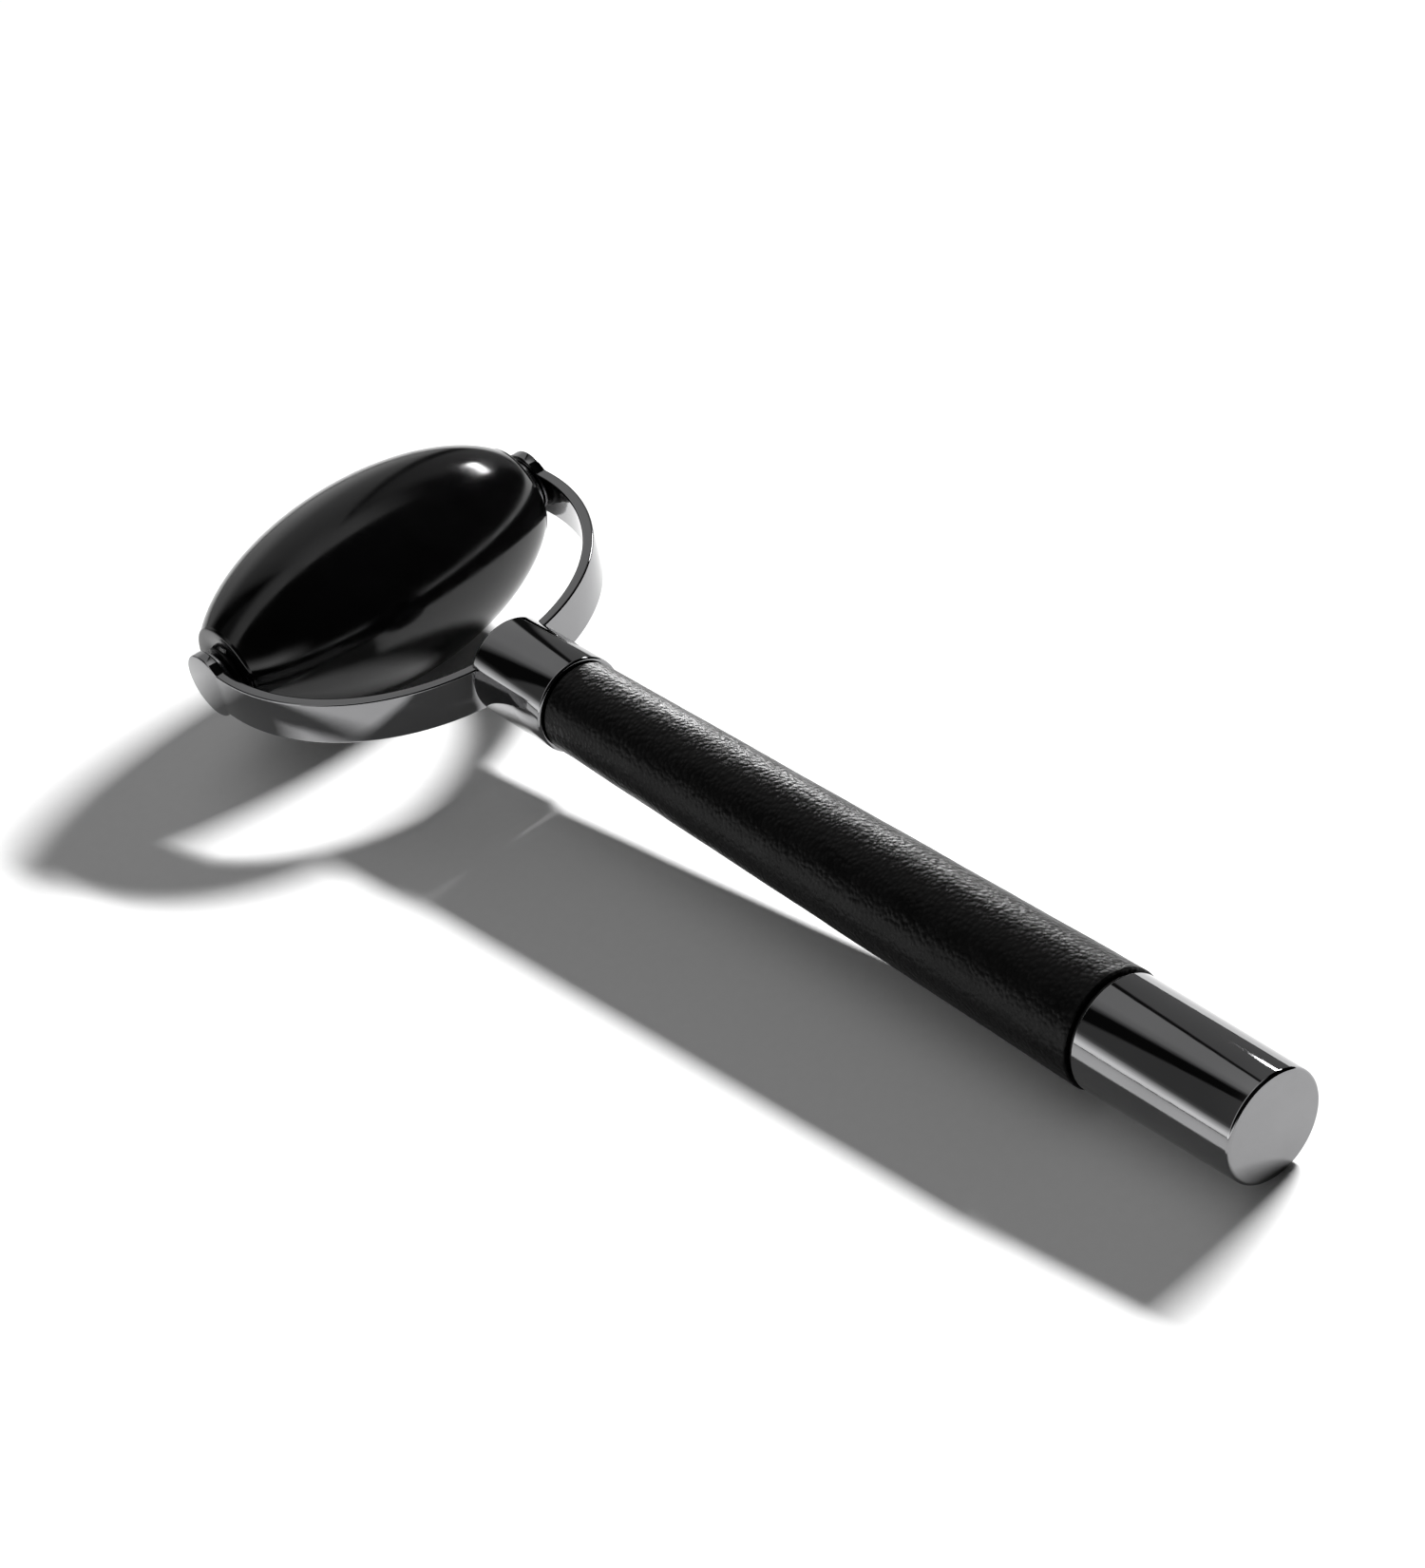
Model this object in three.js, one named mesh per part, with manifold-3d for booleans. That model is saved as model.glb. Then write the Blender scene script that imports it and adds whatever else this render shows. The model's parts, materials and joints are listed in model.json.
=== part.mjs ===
// A single-ended facial roller: a barrel of black stone turns on two pins held in the eyes of a
// C-shaped yoke, and a leather-covered handle is screwed to the collar behind the yoke.
// Millimetres, +Z up. The roller lies at rest on z = 0, on the belly of its stone and the rim of
// its end cap. The object's bounding box is centred on the Z axis.
//
// The head and the handle are drawn along their own axis, X from the stone's centre to the cap,
// in a group that is tilted nose up about Y until the cap's rim meets the floor.

import * as THREE from "three";
import Module from "manifold-3d";
import { mergeVertices } from "three/addons/utils/BufferGeometryUtils.js";

const wasm = await Module();
wasm.setup();

// ---------------------------------------------------------------- driving dimensions
const FIT_GAP = 0.1; // between pieces that are pressed, screwed or glued together
const RUN_GAP = 0.05; // radial clearance of the pins in their bushes
const ROUND = 64; // facets of a visible turned piece
const SMALL_ROUND = 40; // facets of a pin, stud or washer

const STONE_RADIUS = 11.5;
const STONE_HALF = 19.9; // half of the stone's length
const STONE_OVAL = 22.4; // half axis of the ellipse that the barrel's outline follows
const STONE_BORE = 2.1;
const STONE_EDGE = 0.35; // radius of the rounded edge round the stone's end faces
const STONE_BELT = 24; // straight steps along the barrel's outline
const EDGE_START = 0.6; // angle from the barrel's normal at which the edge's rounding starts

const PIN_RADIUS = 1.2;
const PIN_JOURNAL = 6.5; // length of the pin inside its bush
const PIN_CHAMFER = 0.3;
const BUSH_OVERRUN = 1; // the bush runs this far past the pin's tip
const BUSH_FLANGE_RADIUS = 3.3;
const BUSH_FLANGE = 0.4;
const WASHER_RADIUS = 2.6;
const WASHER = 0.25;
const BOSS_RADIUS = 3.0; // the pin's shoulder, seated on the eye's inner face
const BOSS = 0.4;
const SPIGOT_RADIUS = 0.8; // the pin's end in the eye's blind hole
const SPIGOT = 0.75;

const BAND = 1.25; // thickness of the yoke's band
const BAND_WIDTH = 5.1;
const BAND_ARC_X = 3.7; // centre of the arc that the band bends round
const EYE_RADIUS = 3.7;
const EYE_BLEND_ANGLE = 0.98; // where the eye's round edge turns into the band, from +X
const EYE_BLEND_END = 5.3; // where the band reaches its own width
const EYE_BLEND_PULL = 1.7; // how long the blend's curve keeps to the band's edge

const COLLAR_RADIUS = 5.27;
const COLLAR_FRONT = 24.9;
const COLLAR_REAR = 36.9;
const COLLAR_BEVEL = 0.3;

const GRIP_FRONT = 37.2;
const GRIP_REAR = 114.9;
const GRIP_FRONT_RADIUS = 4.95;
const GRIP_REAR_RADIUS = 6.1;
const LEATHER = 0.8;
const GRIP_EDGE = 0.25; // rounding of the leather's turned ends

const SPACER_FRONT = 115.0;
const SPACER_REAR = 115.4;
const GROOVE_DEPTH = 0.35; // how far the spacer sits below the cap's surface

const CAP_FRONT = 115.5;
const CAP_REAR = 134.5;
const CAP_FRONT_RADIUS = 5.88;
const CAP_REAR_RADIUS = 5.63;
const CAP_WALL = 0.8;
const CAP_DISC = 1.2;
const CAP_ROUND = 0.4; // rounded rim between the cap's wall and its disc
const CAP_LIP = 0.15; // chamfer at the cap's open end

const CORE_WALL = 1.0;
const PLUG_LENGTH = 12;
const STUD_RADIUS = 2.0;
const STUD_CHAMFER = 0.4;
const STUD_SETBACK = 4; // from the collar's front to the neck stud, and from the cap's floor to its own
const STUD_SHORT = 1; // a stud stops this far inside its plug

// ---------------------------------------------------------------- derived places
const BUSH_BORE = PIN_RADIUS + RUN_GAP;
const BUSH_OUT = STONE_HALF + FIT_GAP + BUSH_FLANGE; // outer face of the bush's flange
const WASHER_IN = BUSH_OUT + FIT_GAP;
const BOSS_IN = WASHER_IN + WASHER + FIT_GAP;
const EYE_IN = BOSS_IN + BOSS + FIT_GAP; // inner face of the eye
const EYE_OUT = EYE_IN + BAND;
const BAND_OUT_RADIUS = EYE_OUT; // the band's outer arc runs straight into the eyes

// The stone's belly and the cap's rim both touch the floor.
const TILT = solveTilt();
const CENTRE_X = (CAP_REAR * Math.cos(TILT) + CAP_REAR_RADIUS * Math.sin(TILT) - STONE_RADIUS) / 2;

function solveTilt() {
  // STONE_RADIUS - CAP_REAR sin t = CAP_REAR_RADIUS cos t
  const reach = Math.hypot(CAP_REAR, CAP_REAR_RADIUS);
  return Math.asin(STONE_RADIUS / reach) - Math.atan2(CAP_REAR_RADIUS, CAP_REAR);
}

// ---------------------------------------------------------------- materials
function finish(colour, roughness, metalness) {
  return new THREE.MeshStandardMaterial({ color: colour, roughness, metalness });
}

const BLACK_STONE = finish(0x0b0b0c, 0.08, 0);
const CHROME = finish(0xb9bbbd, 0.06, 1);
const STEEL = finish(0x9c9ea1, 0.3, 1);
const BRASS = finish(0xb08d57, 0.35, 1);
const ALUMINIUM = finish(0xb4b6b8, 0.4, 1);
const NYLON = finish(0x19191a, 0.45, 0);
const LEATHER_BLACK = finish(0x101010, 0.6, 0);

// ---------------------------------------------------------------- geometry helpers
const v2 = (x, y) => new THREE.Vector2(x, y);

// A body of revolution about X. The outline is a list of [x, radius] points that closes on itself
// or starts and ends on the axis, going towards +X along the outside.
function turned(outline, segments = ROUND) {
  const points = outline.map(([x, r]) => v2(r, x));
  const last = outline[outline.length - 1];
  if (last[1] > 0) points.push(points[0].clone());
  const geometry = new THREE.LatheGeometry(points, segments);
  geometry.rotateZ(-Math.PI / 2); // the lathe's Y becomes X
  return geometry;
}

// A body of revolution about Y, from the same kind of outline of [y, radius] points.
function turnedAboutY(outline, segments = ROUND) {
  const points = outline.map(([y, r]) => v2(r, y));
  const last = outline[outline.length - 1];
  if (last[1] > 0) points.push(points[0].clone());
  return new THREE.LatheGeometry(points, segments);
}

// Points of a quarter round from one end of an edge to the other, in [along, radius] form.
function quarterRound(centre, radius, from, to, steps) {
  const points = [];
  for (let i = 0; i <= steps; i++) {
    const a = from + ((to - from) * i) / steps;
    points.push([centre[0] + radius * Math.sin(a), centre[1] + radius * Math.cos(a)]);
  }
  return points;
}

function toSolid(geometry) {
  const bare = geometry.index ? geometry.toNonIndexed() : geometry.clone();
  bare.deleteAttribute("normal");
  bare.deleteAttribute("uv");
  const merged = mergeVertices(bare, 1e-4);
  const mesh = new wasm.Mesh({
    numProp: 3,
    vertProperties: new Float32Array(merged.attributes.position.array),
    triVerts: new Uint32Array(merged.index.array),
  });
  return new wasm.Manifold(mesh);
}

function toGeometry(solid) {
  const mesh = solid.getMesh();
  const geometry = new THREE.BufferGeometry();
  geometry.setAttribute("position", new THREE.BufferAttribute(mesh.vertProperties, 3));
  geometry.setIndex(new THREE.BufferAttribute(mesh.triVerts, 1));
  geometry.computeVertexNormals();
  return geometry;
}

function part(name, geometry, material) {
  const mesh = new THREE.Mesh(geometry, material);
  mesh.name = name;
  return mesh;
}

// ---------------------------------------------------------------- the roller
// Radius of the barrel at a distance y from its middle.
function barrel(y) {
  return STONE_RADIUS * Math.sqrt(1 - (y / STONE_OVAL) ** 2);
}

function rollerStone() {
  const shoulder = STONE_HALF - STONE_EDGE;
  const edgeCentre = barrel(shoulder) - STONE_EDGE;
  const leftEdge = quarterRound([-shoulder, edgeCentre], STONE_EDGE, -Math.PI / 2, -EDGE_START, 3);
  const rightEdge = quarterRound([shoulder, edgeCentre], STONE_EDGE, EDGE_START, Math.PI / 2, 3);
  const outline = [[-STONE_HALF, STONE_BORE], ...leftEdge];
  for (let i = 0; i <= STONE_BELT; i++) {
    const y = shoulder * Math.sin(Math.PI * (i / STONE_BELT - 0.5));
    outline.push([y, barrel(y)]);
  }
  outline.push(...rightEdge, [STONE_HALF, STONE_BORE]);
  return part("roller_stone", turnedAboutY(outline), BLACK_STONE);
}

// A flanged sleeve at one end of the stone; side is +1 or -1 along Y.
function stoneBush(name, side) {
  const sleeve = STONE_BORE - FIT_GAP;
  const flangeIn = STONE_HALF + FIT_GAP;
  const inner = STONE_HALF - PIN_JOURNAL - BUSH_OVERRUN;
  const outline = [
    [inner, BUSH_BORE],
    [inner, sleeve],
    [flangeIn, sleeve],
    [flangeIn, BUSH_FLANGE_RADIUS],
    [BUSH_OUT, BUSH_FLANGE_RADIUS],
    [BUSH_OUT, BUSH_BORE],
  ];
  return part(name, sided(outline, side, SMALL_ROUND), NYLON);
}

// A piece turned about Y, drawn for the +Y side and turned round for the other.
function sided(outline, side, segments) {
  const geometry = turnedAboutY(outline, segments);
  if (side < 0) geometry.rotateZ(Math.PI);
  return geometry;
}

function thrustWasher(name, side) {
  const outer = WASHER_IN + WASHER;
  const outline = [
    [WASHER_IN, BUSH_BORE + FIT_GAP],
    [WASHER_IN, WASHER_RADIUS],
    [outer, WASHER_RADIUS],
    [outer, BUSH_BORE + FIT_GAP],
  ];
  return part(name, sided(outline, side, SMALL_ROUND), NYLON);
}

// Journal, shoulder and spigot in one turned pin.
function pivotPin(name, side) {
  const tip = STONE_HALF - PIN_JOURNAL;
  const outline = [
    [tip, 0],
    [tip, PIN_RADIUS - PIN_CHAMFER],
    [tip + PIN_CHAMFER, PIN_RADIUS],
    [BOSS_IN, PIN_RADIUS],
    [BOSS_IN, BOSS_RADIUS],
    [BOSS_IN + BOSS, BOSS_RADIUS],
    [BOSS_IN + BOSS, SPIGOT_RADIUS],
    [BOSS_IN + BOSS + SPIGOT, SPIGOT_RADIUS],
    [BOSS_IN + BOSS + SPIGOT, 0],
  ];
  return part(name, sided(outline, side, SMALL_ROUND), STEEL);
}

// ---------------------------------------------------------------- the yoke
// The C seen from above: an arc round the back of the head and two straight cheeks.
// grow widens it on both faces, for cutting the collar's slot.
function yokeOutline(grow) {
  const outer = BAND_OUT_RADIUS + grow;
  const inner = EYE_IN - grow;
  const back = -EYE_RADIUS - grow;
  const shape = new THREE.Shape();
  shape.moveTo(back, -outer);
  shape.lineTo(BAND_ARC_X, -outer);
  shape.absarc(BAND_ARC_X, 0, outer, -Math.PI / 2, Math.PI / 2, false);
  shape.lineTo(back, outer);
  shape.lineTo(back, inner);
  shape.lineTo(BAND_ARC_X, inner);
  shape.absarc(BAND_ARC_X, 0, inner, Math.PI / 2, -Math.PI / 2, true);
  shape.lineTo(back, -inner);
  shape.closePath();
  return shape;
}

function strip(grow, height) {
  const geometry = new THREE.ExtrudeGeometry(yokeOutline(grow), {
    depth: height,
    bevelEnabled: false,
    curveSegments: 40,
  });
  geometry.translate(0, 0, -height / 2);
  return toSolid(geometry);
}

// The band's elevation seen along Y: round eyes that run into a narrower strip.
function cheekElevation() {
  const half = BAND_WIDTH / 2;
  const back = BAND_ARC_X + BAND_OUT_RADIUS + 1; // past the band's outermost point
  const meet = EYE_BLEND_ANGLE;
  const pull = EYE_BLEND_END - EYE_BLEND_PULL;
  const shape = new THREE.Shape();
  shape.absarc(0, 0, EYE_RADIUS, meet, -meet + 2 * Math.PI, false);
  shape.quadraticCurveTo(pull, -half, EYE_BLEND_END, -half);
  shape.lineTo(back, -half);
  shape.lineTo(back, half);
  shape.lineTo(EYE_BLEND_END, half);
  shape.quadraticCurveTo(pull, half, EYE_RADIUS * Math.cos(meet), EYE_RADIUS * Math.sin(meet));
  return shape;
}

// The drill for the blind hole in one eye's inner face.
function spigotHole(side) {
  const radius = SPIGOT_RADIUS + FIT_GAP;
  const start = EYE_IN - 1; // starts clear of the face
  const end = EYE_IN + SPIGOT + FIT_GAP;
  const outline = [[start, 0], [start, radius], [end, radius], [end, 0]];
  return toSolid(sided(outline, side, SMALL_ROUND));
}

function yoke() {
  const reach = EYE_OUT + 2;
  const elevation = new THREE.ExtrudeGeometry(cheekElevation(), {
    depth: 2 * reach,
    bevelEnabled: false,
    curveSegments: 20,
  });
  elevation.rotateX(Math.PI / 2);
  elevation.translate(0, reach, 0);
  const blank = strip(0, 2 * EYE_RADIUS + 1).intersect(toSolid(elevation));
  const body = blank.subtract(spigotHole(1)).subtract(spigotHole(-1));
  return part("yoke", toGeometry(body), CHROME);
}

// ---------------------------------------------------------------- the collar and the handle
const BORE = STUD_RADIUS + FIT_GAP;
const STUD_FRONT = COLLAR_FRONT + STUD_SETBACK;
const SEAT = GRIP_FRONT + FIT_GAP; // where the handle's core starts

function collar() {
  const outline = [
    [COLLAR_FRONT, 0],
    [COLLAR_FRONT, COLLAR_RADIUS - COLLAR_BEVEL],
    [COLLAR_FRONT + COLLAR_BEVEL, COLLAR_RADIUS],
    [COLLAR_REAR - COLLAR_BEVEL, COLLAR_RADIUS],
    [COLLAR_REAR, COLLAR_RADIUS - COLLAR_BEVEL],
    [COLLAR_REAR, BORE],
    [STUD_FRONT - FIT_GAP, BORE],
    [STUD_FRONT - FIT_GAP, 0],
  ];
  const body = toSolid(turned(outline)).subtract(strip(FIT_GAP, BAND_WIDTH + 2 * FIT_GAP));
  const bodies = body.decompose();
  bodies.sort((a, b) => b.volume() - a.volume());
  return part("collar", toGeometry(bodies[0]), CHROME);
}

function stud(name, front, rear) {
  const outline = [
    [front, 0],
    [front, STUD_RADIUS - STUD_CHAMFER],
    [front + STUD_CHAMFER, STUD_RADIUS],
    [rear - STUD_CHAMFER, STUD_RADIUS],
    [rear, STUD_RADIUS - STUD_CHAMFER],
    [rear, 0],
  ];
  return part(name, turned(outline, SMALL_ROUND), STEEL);
}

// Outer radius of the leather grip at x.
function gripRadius(x) {
  const along = (x - GRIP_FRONT) / (GRIP_REAR - GRIP_FRONT);
  return GRIP_FRONT_RADIUS + (GRIP_REAR_RADIUS - GRIP_FRONT_RADIUS) * along;
}

const coreRadius = (x) => gripRadius(x) - LEATHER - FIT_GAP;
const coreBore = (x) => coreRadius(x) - CORE_WALL;

function coreTube() {
  const rear = GRIP_REAR - FIT_GAP;
  const outline = [
    [SEAT, coreBore(SEAT)],
    [SEAT, coreRadius(SEAT)],
    [rear, coreRadius(rear)],
    [rear, coreBore(rear)],
  ];
  return part("core_tube", turned(outline), ALUMINIUM);
}

// A threaded plug pressed into one end of the core tube.
function corePlug(name, front, rear) {
  const outline = [
    [front, BORE],
    [front, coreBore(front) - FIT_GAP],
    [rear, coreBore(rear) - FIT_GAP],
    [rear, BORE],
  ];
  return part(name, turned(outline, SMALL_ROUND), BRASS);
}

function gripSleeve() {
  const front = quarterRound(
    [GRIP_FRONT + GRIP_EDGE, gripRadius(GRIP_FRONT) - GRIP_EDGE],
    GRIP_EDGE, -Math.PI / 2, 0, 3,
  );
  const rear = quarterRound(
    [GRIP_REAR - GRIP_EDGE, gripRadius(GRIP_REAR) - GRIP_EDGE],
    GRIP_EDGE, 0, Math.PI / 2, 3,
  );
  const outline = [
    [GRIP_FRONT, gripRadius(GRIP_FRONT) - LEATHER],
    ...front,
    ...rear,
    [GRIP_REAR, gripRadius(GRIP_REAR) - LEATHER],
  ];
  return part("grip_sleeve", turned(outline), LEATHER_BLACK);
}

function spacerRing() {
  const radius = CAP_FRONT_RADIUS - GROOVE_DEPTH;
  const outline = [
    [SPACER_FRONT, BORE],
    [SPACER_FRONT, radius],
    [SPACER_REAR, radius],
    [SPACER_REAR, BORE],
  ];
  return part("spacer_ring", turned(outline), NYLON);
}

function capRadius(x) {
  const along = (x - CAP_FRONT) / (CAP_REAR - CAP_FRONT);
  return CAP_FRONT_RADIUS + (CAP_REAR_RADIUS - CAP_FRONT_RADIUS) * along;
}

function endCap() {
  const floor = CAP_REAR - CAP_DISC;
  const rim = quarterRound(
    [CAP_REAR - CAP_ROUND, CAP_REAR_RADIUS - CAP_ROUND],
    CAP_ROUND, 0, Math.PI / 2, 4,
  );
  const outline = [
    [floor, 0],
    [floor, capRadius(floor) - CAP_WALL],
    [CAP_FRONT, capRadius(CAP_FRONT) - CAP_WALL],
    [CAP_FRONT, capRadius(CAP_FRONT) - CAP_LIP],
    [CAP_FRONT + CAP_LIP, capRadius(CAP_FRONT + CAP_LIP)],
    ...rim,
    [CAP_REAR, 0],
  ];
  return part("end_cap", turned(outline), CHROME);
}

function capInsert() {
  const front = CAP_FRONT + FIT_GAP;
  const rear = CAP_REAR - CAP_DISC - FIT_GAP;
  const wall = CAP_WALL + FIT_GAP;
  const outline = [
    [front, BORE],
    [front, capRadius(front) - wall],
    [rear, capRadius(rear) - wall],
    [rear, BORE],
  ];
  return part("cap_insert", turned(outline, SMALL_ROUND), BRASS);
}

// ---------------------------------------------------------------- assembly
const roller = new THREE.Group();
roller.position.set(-CENTRE_X, 0, STONE_RADIUS);
roller.add(
  rollerStone(),
  stoneBush("stone_bush_left", -1),
  stoneBush("stone_bush_right", 1),
);

const handle = new THREE.Group();
handle.position.set(-CENTRE_X, 0, STONE_RADIUS);
handle.rotation.y = TILT;
handle.add(
  yoke(),
  pivotPin("pivot_pin_left", -1),
  pivotPin("pivot_pin_right", 1),
  thrustWasher("thrust_washer_left", -1),
  thrustWasher("thrust_washer_right", 1),
  collar(),
  stud("neck_stud", STUD_FRONT, SEAT + PLUG_LENGTH - STUD_SHORT),
  corePlug("front_plug", SEAT + FIT_GAP, SEAT + PLUG_LENGTH),
  coreTube(),
  gripSleeve(),
  corePlug("rear_plug", GRIP_REAR - PLUG_LENGTH, GRIP_REAR - 2 * FIT_GAP),
  spacerRing(),
  stud("cap_stud", GRIP_REAR - PLUG_LENGTH + STUD_SHORT, CAP_REAR - CAP_DISC - STUD_SETBACK),
  capInsert(),
  endCap(),
);

const faceRoller = new THREE.Group();
faceRoller.add(roller, handle);

export default faceRoller;
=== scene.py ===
import json
import math

import bmesh
import bpy
from mathutils import Matrix, Vector, noise


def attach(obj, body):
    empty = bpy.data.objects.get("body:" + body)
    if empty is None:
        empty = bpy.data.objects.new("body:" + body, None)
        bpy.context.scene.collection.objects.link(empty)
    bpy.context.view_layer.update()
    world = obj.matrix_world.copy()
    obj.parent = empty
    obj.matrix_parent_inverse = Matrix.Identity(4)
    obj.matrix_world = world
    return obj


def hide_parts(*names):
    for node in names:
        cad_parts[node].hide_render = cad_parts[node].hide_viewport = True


# The facial roller's looks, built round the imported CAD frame.
#
# Lengths are in metres. The head and the handle are drawn along their own axis, X from the stone's
# centre to the end cap, and then tilted onto the floor as the CAD model is.
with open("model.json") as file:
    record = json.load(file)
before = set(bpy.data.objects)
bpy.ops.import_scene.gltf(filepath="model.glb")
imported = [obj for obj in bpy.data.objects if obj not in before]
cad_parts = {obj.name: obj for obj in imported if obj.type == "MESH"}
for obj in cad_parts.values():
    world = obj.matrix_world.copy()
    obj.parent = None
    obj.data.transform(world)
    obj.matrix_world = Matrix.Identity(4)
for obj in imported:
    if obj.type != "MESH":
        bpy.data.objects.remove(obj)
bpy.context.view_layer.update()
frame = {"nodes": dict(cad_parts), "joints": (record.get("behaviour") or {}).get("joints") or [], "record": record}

MM = 0.001
HANDLE = "handle"
ROLLER = "roller"

# ---------------------------------------------------------------- places taken from the frame
HUB = Vector(frame["joints"][0]["pos_m"])  # the stone's centre, on the pins' axis
CAP_MOUNT = frame["record"]["mounts"][0]  # the cap's flat face, square to the handle
CAP_NORMAL = Vector(CAP_MOUNT["axis"]).normalized()
TILT = math.atan2(-CAP_NORMAL.z, CAP_NORMAL.x)
LAY = Matrix.Translation(HUB) @ Matrix.Rotation(TILT, 4, "Y")  # drawing frame to row frame

# ---------------------------------------------------------------- sizes
# These are the CAD model's, except that BOSS_RADIUS is 0.2 mm larger, COLLAR_NOSE is 0.1 mm longer,
# and EYE_RADIUS, SLOT_GAP, COLLAR_FRONT_ROUND and GRIP_ROLL differ by at most 0.05 mm. BAND_EDGE,
# the rounding of the band's edges, is only here.
STONE_RADIUS = 11.5 * MM
STONE_HALF = 19.9 * MM
STONE_OVAL = 22.4 * MM
STONE_BORE = 2.1 * MM
STONE_EDGE = 0.35 * MM
PIN_RADIUS = 1.2 * MM
PIN_TIP = 13.4 * MM
BUSH_BORE = 1.25 * MM
BUSH_SLEEVE = 2.0 * MM
BUSH_FLANGE_RADIUS = 3.3 * MM
FLANGE_IN = 20.0 * MM
FLANGE_OUT = 20.4 * MM
WASHER_IN = 20.5 * MM
WASHER_OUT = 20.75 * MM
WASHER_RADIUS = 2.6 * MM
BOSS_IN = 20.85 * MM
BOSS_OUT = 21.25 * MM
BOSS_RADIUS = 3.2 * MM
SPIGOT_RADIUS = 0.8 * MM
SPIGOT_END = 22.0 * MM
EYE_IN = 21.35 * MM
EYE_OUT = 22.6 * MM
BAND_HALF_WIDTH = 2.55 * MM
BAND_EDGE = 0.22 * MM
BAND_ARC_X = 3.7 * MM
EYE_RADIUS = 3.75 * MM
BAND_MID = (EYE_IN + EYE_OUT) / 2
BAND_STRAIGHT = EYE_RADIUS + BAND_ARC_X  # from the eye's tip to where the bend starts
BAND_HALF = BAND_STRAIGHT + BAND_MID * math.pi / 2
SLOT_GAP = 0.06 * MM
COLLAR_RADIUS = 5.27 * MM
COLLAR_FRONT = 24.9 * MM
COLLAR_REAR = 36.9 * MM
COLLAR_NOSE = 4.0 * MM
COLLAR_FRONT_ROUND = 0.35 * MM
COLLAR_REAR_ROUND = 0.3 * MM
GRIP_FRONT = 37.2 * MM
GRIP_REAR = 114.9 * MM
GRIP_FRONT_RADIUS = 4.95 * MM
GRIP_REAR_RADIUS = 6.1 * MM
GRIP_ROLL = 0.22 * MM
LEATHER = 0.8 * MM
SPACER_FRONT = 115.0 * MM
SPACER_REAR = 115.4 * MM
GROOVE_DEPTH = 0.35 * MM
CAP_FRONT = 115.5 * MM
CAP_REAR = 134.5 * MM
CAP_FRONT_RADIUS = 5.88 * MM
CAP_REAR_RADIUS = 5.63 * MM
CAP_WALL = 0.8 * MM
CAP_DISC = 1.2 * MM
CAP_LIP = 0.15 * MM
CAP_ROUND = 0.4 * MM
STUD_BORE = 2.1 * MM

# ---------------------------------------------------------------- how finely shapes are cut
FACETS = 192
STONE_FACETS = 256
SMALL_FACETS = 96
DOME_STEPS = 72
ROUND_STEPS = 6
EYE_STEPS = 28
NECK_STEPS = 4
BEND_STEPS = 64
SLOT_STEPS = 48
GRIP_STEPS = 300

# ---------------------------------------------------------------- finishes
POLISH_STRETCH = (60, 900, 900)  # the polishing lines run along X
POLISH_ROUGHNESS = (0.035, 0.085)
TURNING_STRETCH = (2600, 40, 40)  # the lathe's rings run across X
PEBBLES_PER_METRE = 2000
PEBBLE_WARP = (0.0004, 0.0004, 0.0004)
PAPER_WHITE = 0.87

# ---------------------------------------------------------------- the studio
KEY_PLACE = (-0.005, 0.311, 0.214)
KEY_SIZE = (0.12, 0.026)
WINDOW_PLACE = (-0.478, 1.275, 0.683)
WINDOW_SIZE = (0.42, 0.12)
SHEEN_PLACE = (-0.68, 0.52, 0.10)
SHEEN_SIZE = (0.4, 0.08)
LAMP_AIM = Vector((0, 0, 0.01))
FLOOR_REACH = 6.0
FLOOR_DROP = 0.02 * MM  # so that the floor and the object's lowest points never share a plane


# ---------------------------------------------------------------- node helpers
def new_material(name):
    material = bpy.data.materials.new(name)
    material.use_nodes = True
    tree = material.node_tree
    shader = tree.nodes["Principled BSDF"]
    return material, tree, shader


def add_node(tree, kind, **settings):
    node = tree.nodes.new(kind)
    for key, value in settings.items():
        if hasattr(node, key):
            setattr(node, key, value)
        else:
            node.inputs[key].default_value = value
    return node


def object_coords(tree, scale=(1, 1, 1)):
    coords = tree.nodes.new("ShaderNodeTexCoord")
    mapping = tree.nodes.new("ShaderNodeMapping")
    mapping.inputs["Scale"].default_value = scale
    tree.links.new(coords.outputs["Object"], mapping.inputs["Vector"])
    return mapping.outputs["Vector"]


def ramp(tree, source, stops):
    node = tree.nodes.new("ShaderNodeValToRGB")
    elements = node.color_ramp.elements
    while len(elements) < len(stops):
        elements.new(0.5)
    for element, (place, value) in zip(elements, stops):
        element.position = place
        element.color = (value, value, value, 1) if isinstance(value, float) else (*value, 1)
    tree.links.new(source, node.inputs["Fac"])
    return node.outputs["Color"]


def noise_texture(tree, vector, scale, detail, roughness=0.5):
    node = add_node(tree, "ShaderNodeTexNoise")
    node.inputs["Scale"].default_value = scale
    node.inputs["Detail"].default_value = detail
    node.inputs["Roughness"].default_value = roughness
    tree.links.new(vector, node.inputs["Vector"])
    return node.outputs["Fac"]


def bump(tree, height, strength, distance, normal=None):
    node = tree.nodes.new("ShaderNodeBump")
    node.inputs["Strength"].default_value = strength
    node.inputs["Distance"].default_value = distance
    tree.links.new(height, node.inputs["Height"])
    if normal is not None:
        tree.links.new(normal, node.inputs["Normal"])
    return node.outputs["Normal"]


def span(tree, source, low, high):
    """0 where the source is low, 1 where it is high, clamped."""
    node = tree.nodes.new("ShaderNodeMapRange")
    node.inputs["From Min"].default_value = low
    node.inputs["From Max"].default_value = high
    tree.links.new(source, node.inputs["Value"])
    return node.outputs["Result"]


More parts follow.
